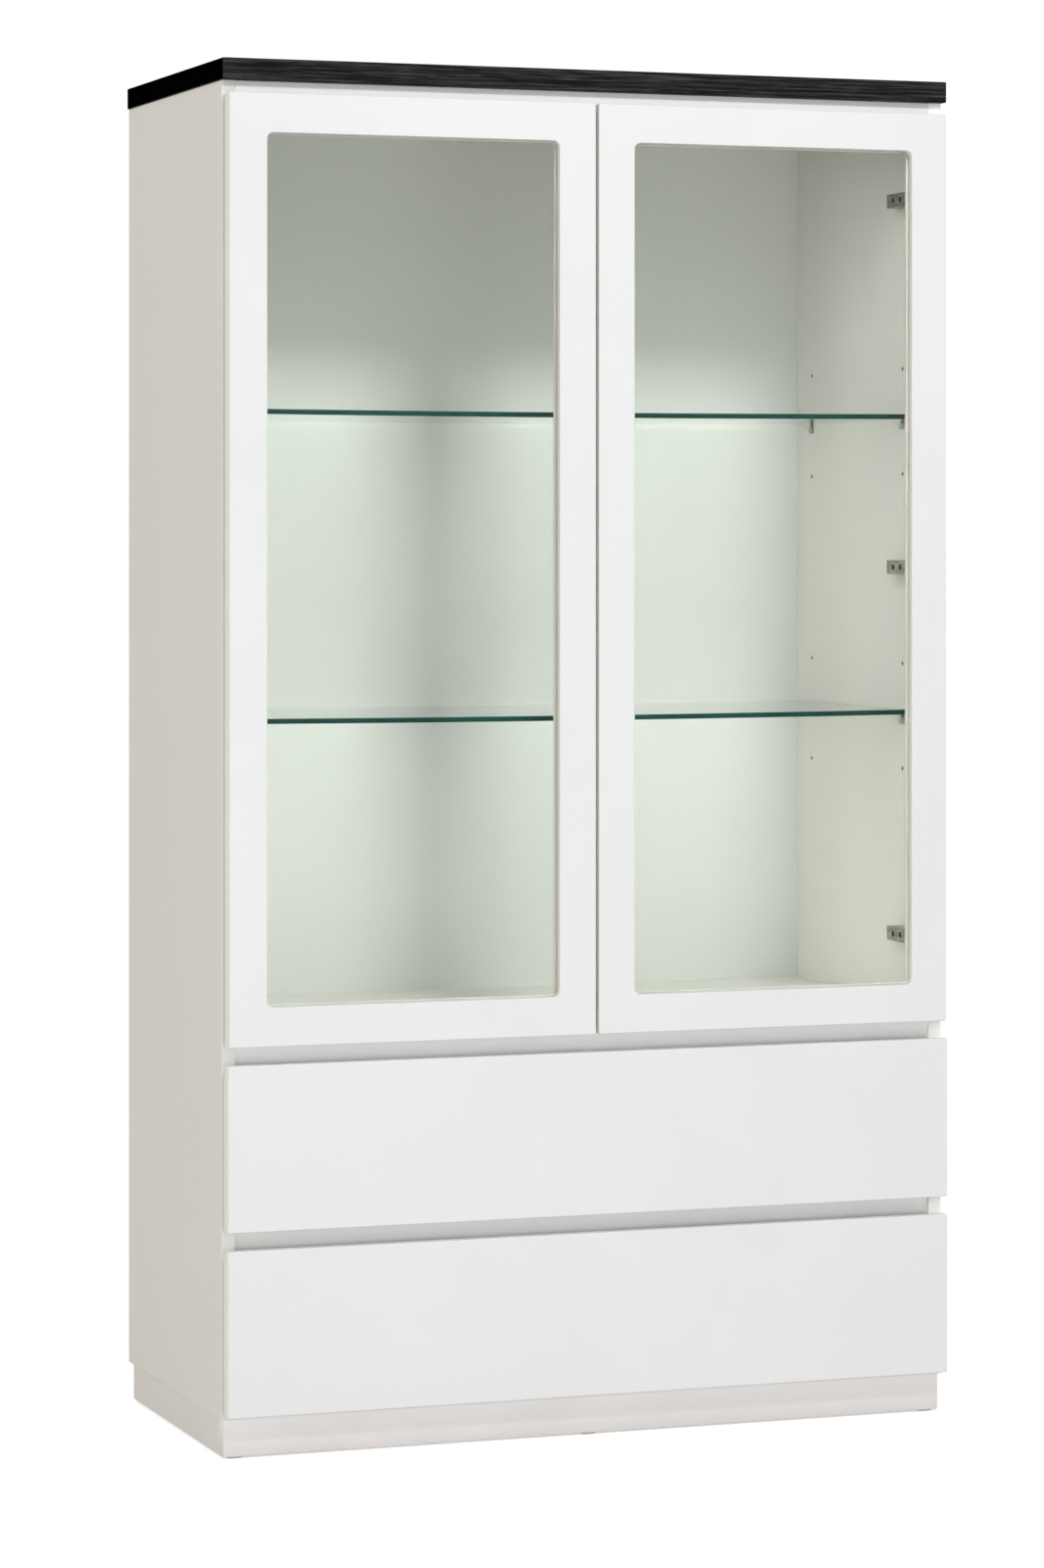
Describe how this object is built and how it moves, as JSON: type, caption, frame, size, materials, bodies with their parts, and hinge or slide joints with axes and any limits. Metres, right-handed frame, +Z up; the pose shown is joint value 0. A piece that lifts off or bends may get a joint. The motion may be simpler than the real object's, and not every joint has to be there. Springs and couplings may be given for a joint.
{
  "type": "china cabinet",
  "caption": "Tall free-standing china cabinet: hinged glass doors over glass shelves, handleless drawers with finger gaps below, black top board, recessed plinth.",
  "frame": {"origin": "middle of the footprint, on the floor", "axes": "+X to the right seen from the front, +Y to the back, +Z up; the doors' faces lie at the lowest y"},
  "size_m": [0.904, 0.43, 1.6],
  "materials": {
    "white_lacquer": "satin white lacquer on fibreboard",
    "white_melamine": "warm white melamine on particle board",
    "white_hardboard": "white printed thin fibreboard",
    "black_ash_laminate": "matt black wood-grain laminate",
    "door_glass": "clear float glass with a slight green tint",
    "shelf_glass": "clear float glass with polished green edges",
    "nickel_steel": "nickel plated",
    "zinc_steel": "bright zinc plated",
    "clear_plastic": "clear moulded",
    "black_plastic": "moulded",
    "glide_felt": "pressed felt"
  },
  "bodies": {
    "carcass": {"left_side_panel": "white_melamine", "right_side_panel": "white_melamine", "carcass_top_panel": "white_melamine", "black_top_board": "black_ash_laminate", "cabinet_floor_panel": "white_melamine", "carcass_bottom_panel": "white_melamine", "upper_back_panel": "white_hardboard", "lower_back_panel": "white_hardboard", "upper_grip_rail": "white_lacquer", "middle_grip_rail": "white_lacquer", "plinth_front_rail": "white_lacquer", "plinth_back_rail": "white_melamine", "plinth_left_rail": "white_melamine", "plinth_right_rail": "white_melamine", "floor_glides": "glide_felt", "upper_glass_shelf": "shelf_glass", "lower_glass_shelf": "shelf_glass", "shelf_supports": "clear_plastic", "hinge_plates": "nickel_steel", "hinge_arms": "nickel_steel", "hinge_adjusters": "nickel_steel", "hinge_plate_screws": "nickel_steel", "cam_locks": "nickel_steel", "cam_bolts": "nickel_steel", "back_nails": "nickel_steel", "upper_fixed_rails": "zinc_steel", "lower_fixed_rails": "zinc_steel"},
    "left_door": {"left_door_frame": "white_lacquer", "left_door_glass": "door_glass", "left_glazing_bead": "white_lacquer", "left_hinge_cups": "nickel_steel", "left_hinge_pins": "nickel_steel", "left_cup_screws": "nickel_steel", "left_door_bumpers": "clear_plastic"},
    "right_door": {"right_door_frame": "white_lacquer", "right_door_glass": "door_glass", "right_glazing_bead": "white_lacquer", "right_hinge_cups": "nickel_steel", "right_hinge_pins": "nickel_steel", "right_cup_screws": "nickel_steel", "right_door_bumpers": "clear_plastic"},
    "upper_drawer": {"upper_drawer_front": "white_lacquer", "upper_drawer_left_side": "white_melamine", "upper_drawer_right_side": "white_melamine", "upper_drawer_back": "white_melamine", "upper_drawer_bottom": "white_hardboard", "upper_inner_rails": "zinc_steel", "upper_drawer_bumpers": "clear_plastic"},
    "lower_drawer": {"lower_drawer_front": "white_lacquer", "lower_drawer_left_side": "white_melamine", "lower_drawer_right_side": "white_melamine", "lower_drawer_back": "white_melamine", "lower_drawer_bottom": "white_hardboard", "lower_inner_rails": "zinc_steel", "lower_drawer_bumpers": "clear_plastic"},
    "upper_runner_middle": {"upper_middle_rails": "zinc_steel", "upper_ball_cages": "black_plastic"},
    "lower_runner_middle": {"lower_middle_rails": "zinc_steel", "lower_ball_cages": "black_plastic"}
  },
  "joints": [
    {"name": "left_door_hinge", "type": "hinge", "parent": "carcass", "child": "left_door", "pos_m": [-0.44, -0.2045, 1.016], "axis": [0, 0, -1], "range_deg": [0, 95]},
    {"name": "right_door_hinge", "type": "hinge", "parent": "carcass", "child": "right_door", "pos_m": [0.44, -0.2045, 1.016], "axis": [0, 0, 1], "range_deg": [0, 95]},
    {"name": "upper_drawer_slide", "type": "slide", "parent": "carcass", "child": "upper_drawer", "axis": [0, -1, 0], "range_m": [0, 0.35]},
    {"name": "lower_drawer_slide", "type": "slide", "parent": "carcass", "child": "lower_drawer", "axis": [0, -1, 0], "range_m": [0, 0.35]},
    {"name": "upper_runner_slide", "type": "slide", "parent": "carcass", "child": "upper_runner_middle", "axis": [0, -1, 0], "range_m": [0, 0.175]},
    {"name": "lower_runner_slide", "type": "slide", "parent": "carcass", "child": "lower_runner_middle", "axis": [0, -1, 0], "range_m": [0, 0.175]}
  ],
  "couplings": [
    {"joint": "upper_runner_slide", "follows": "upper_drawer_slide", "ratio": 0.5},
    {"joint": "lower_runner_slide", "follows": "lower_drawer_slide", "ratio": 0.5}
  ]
}
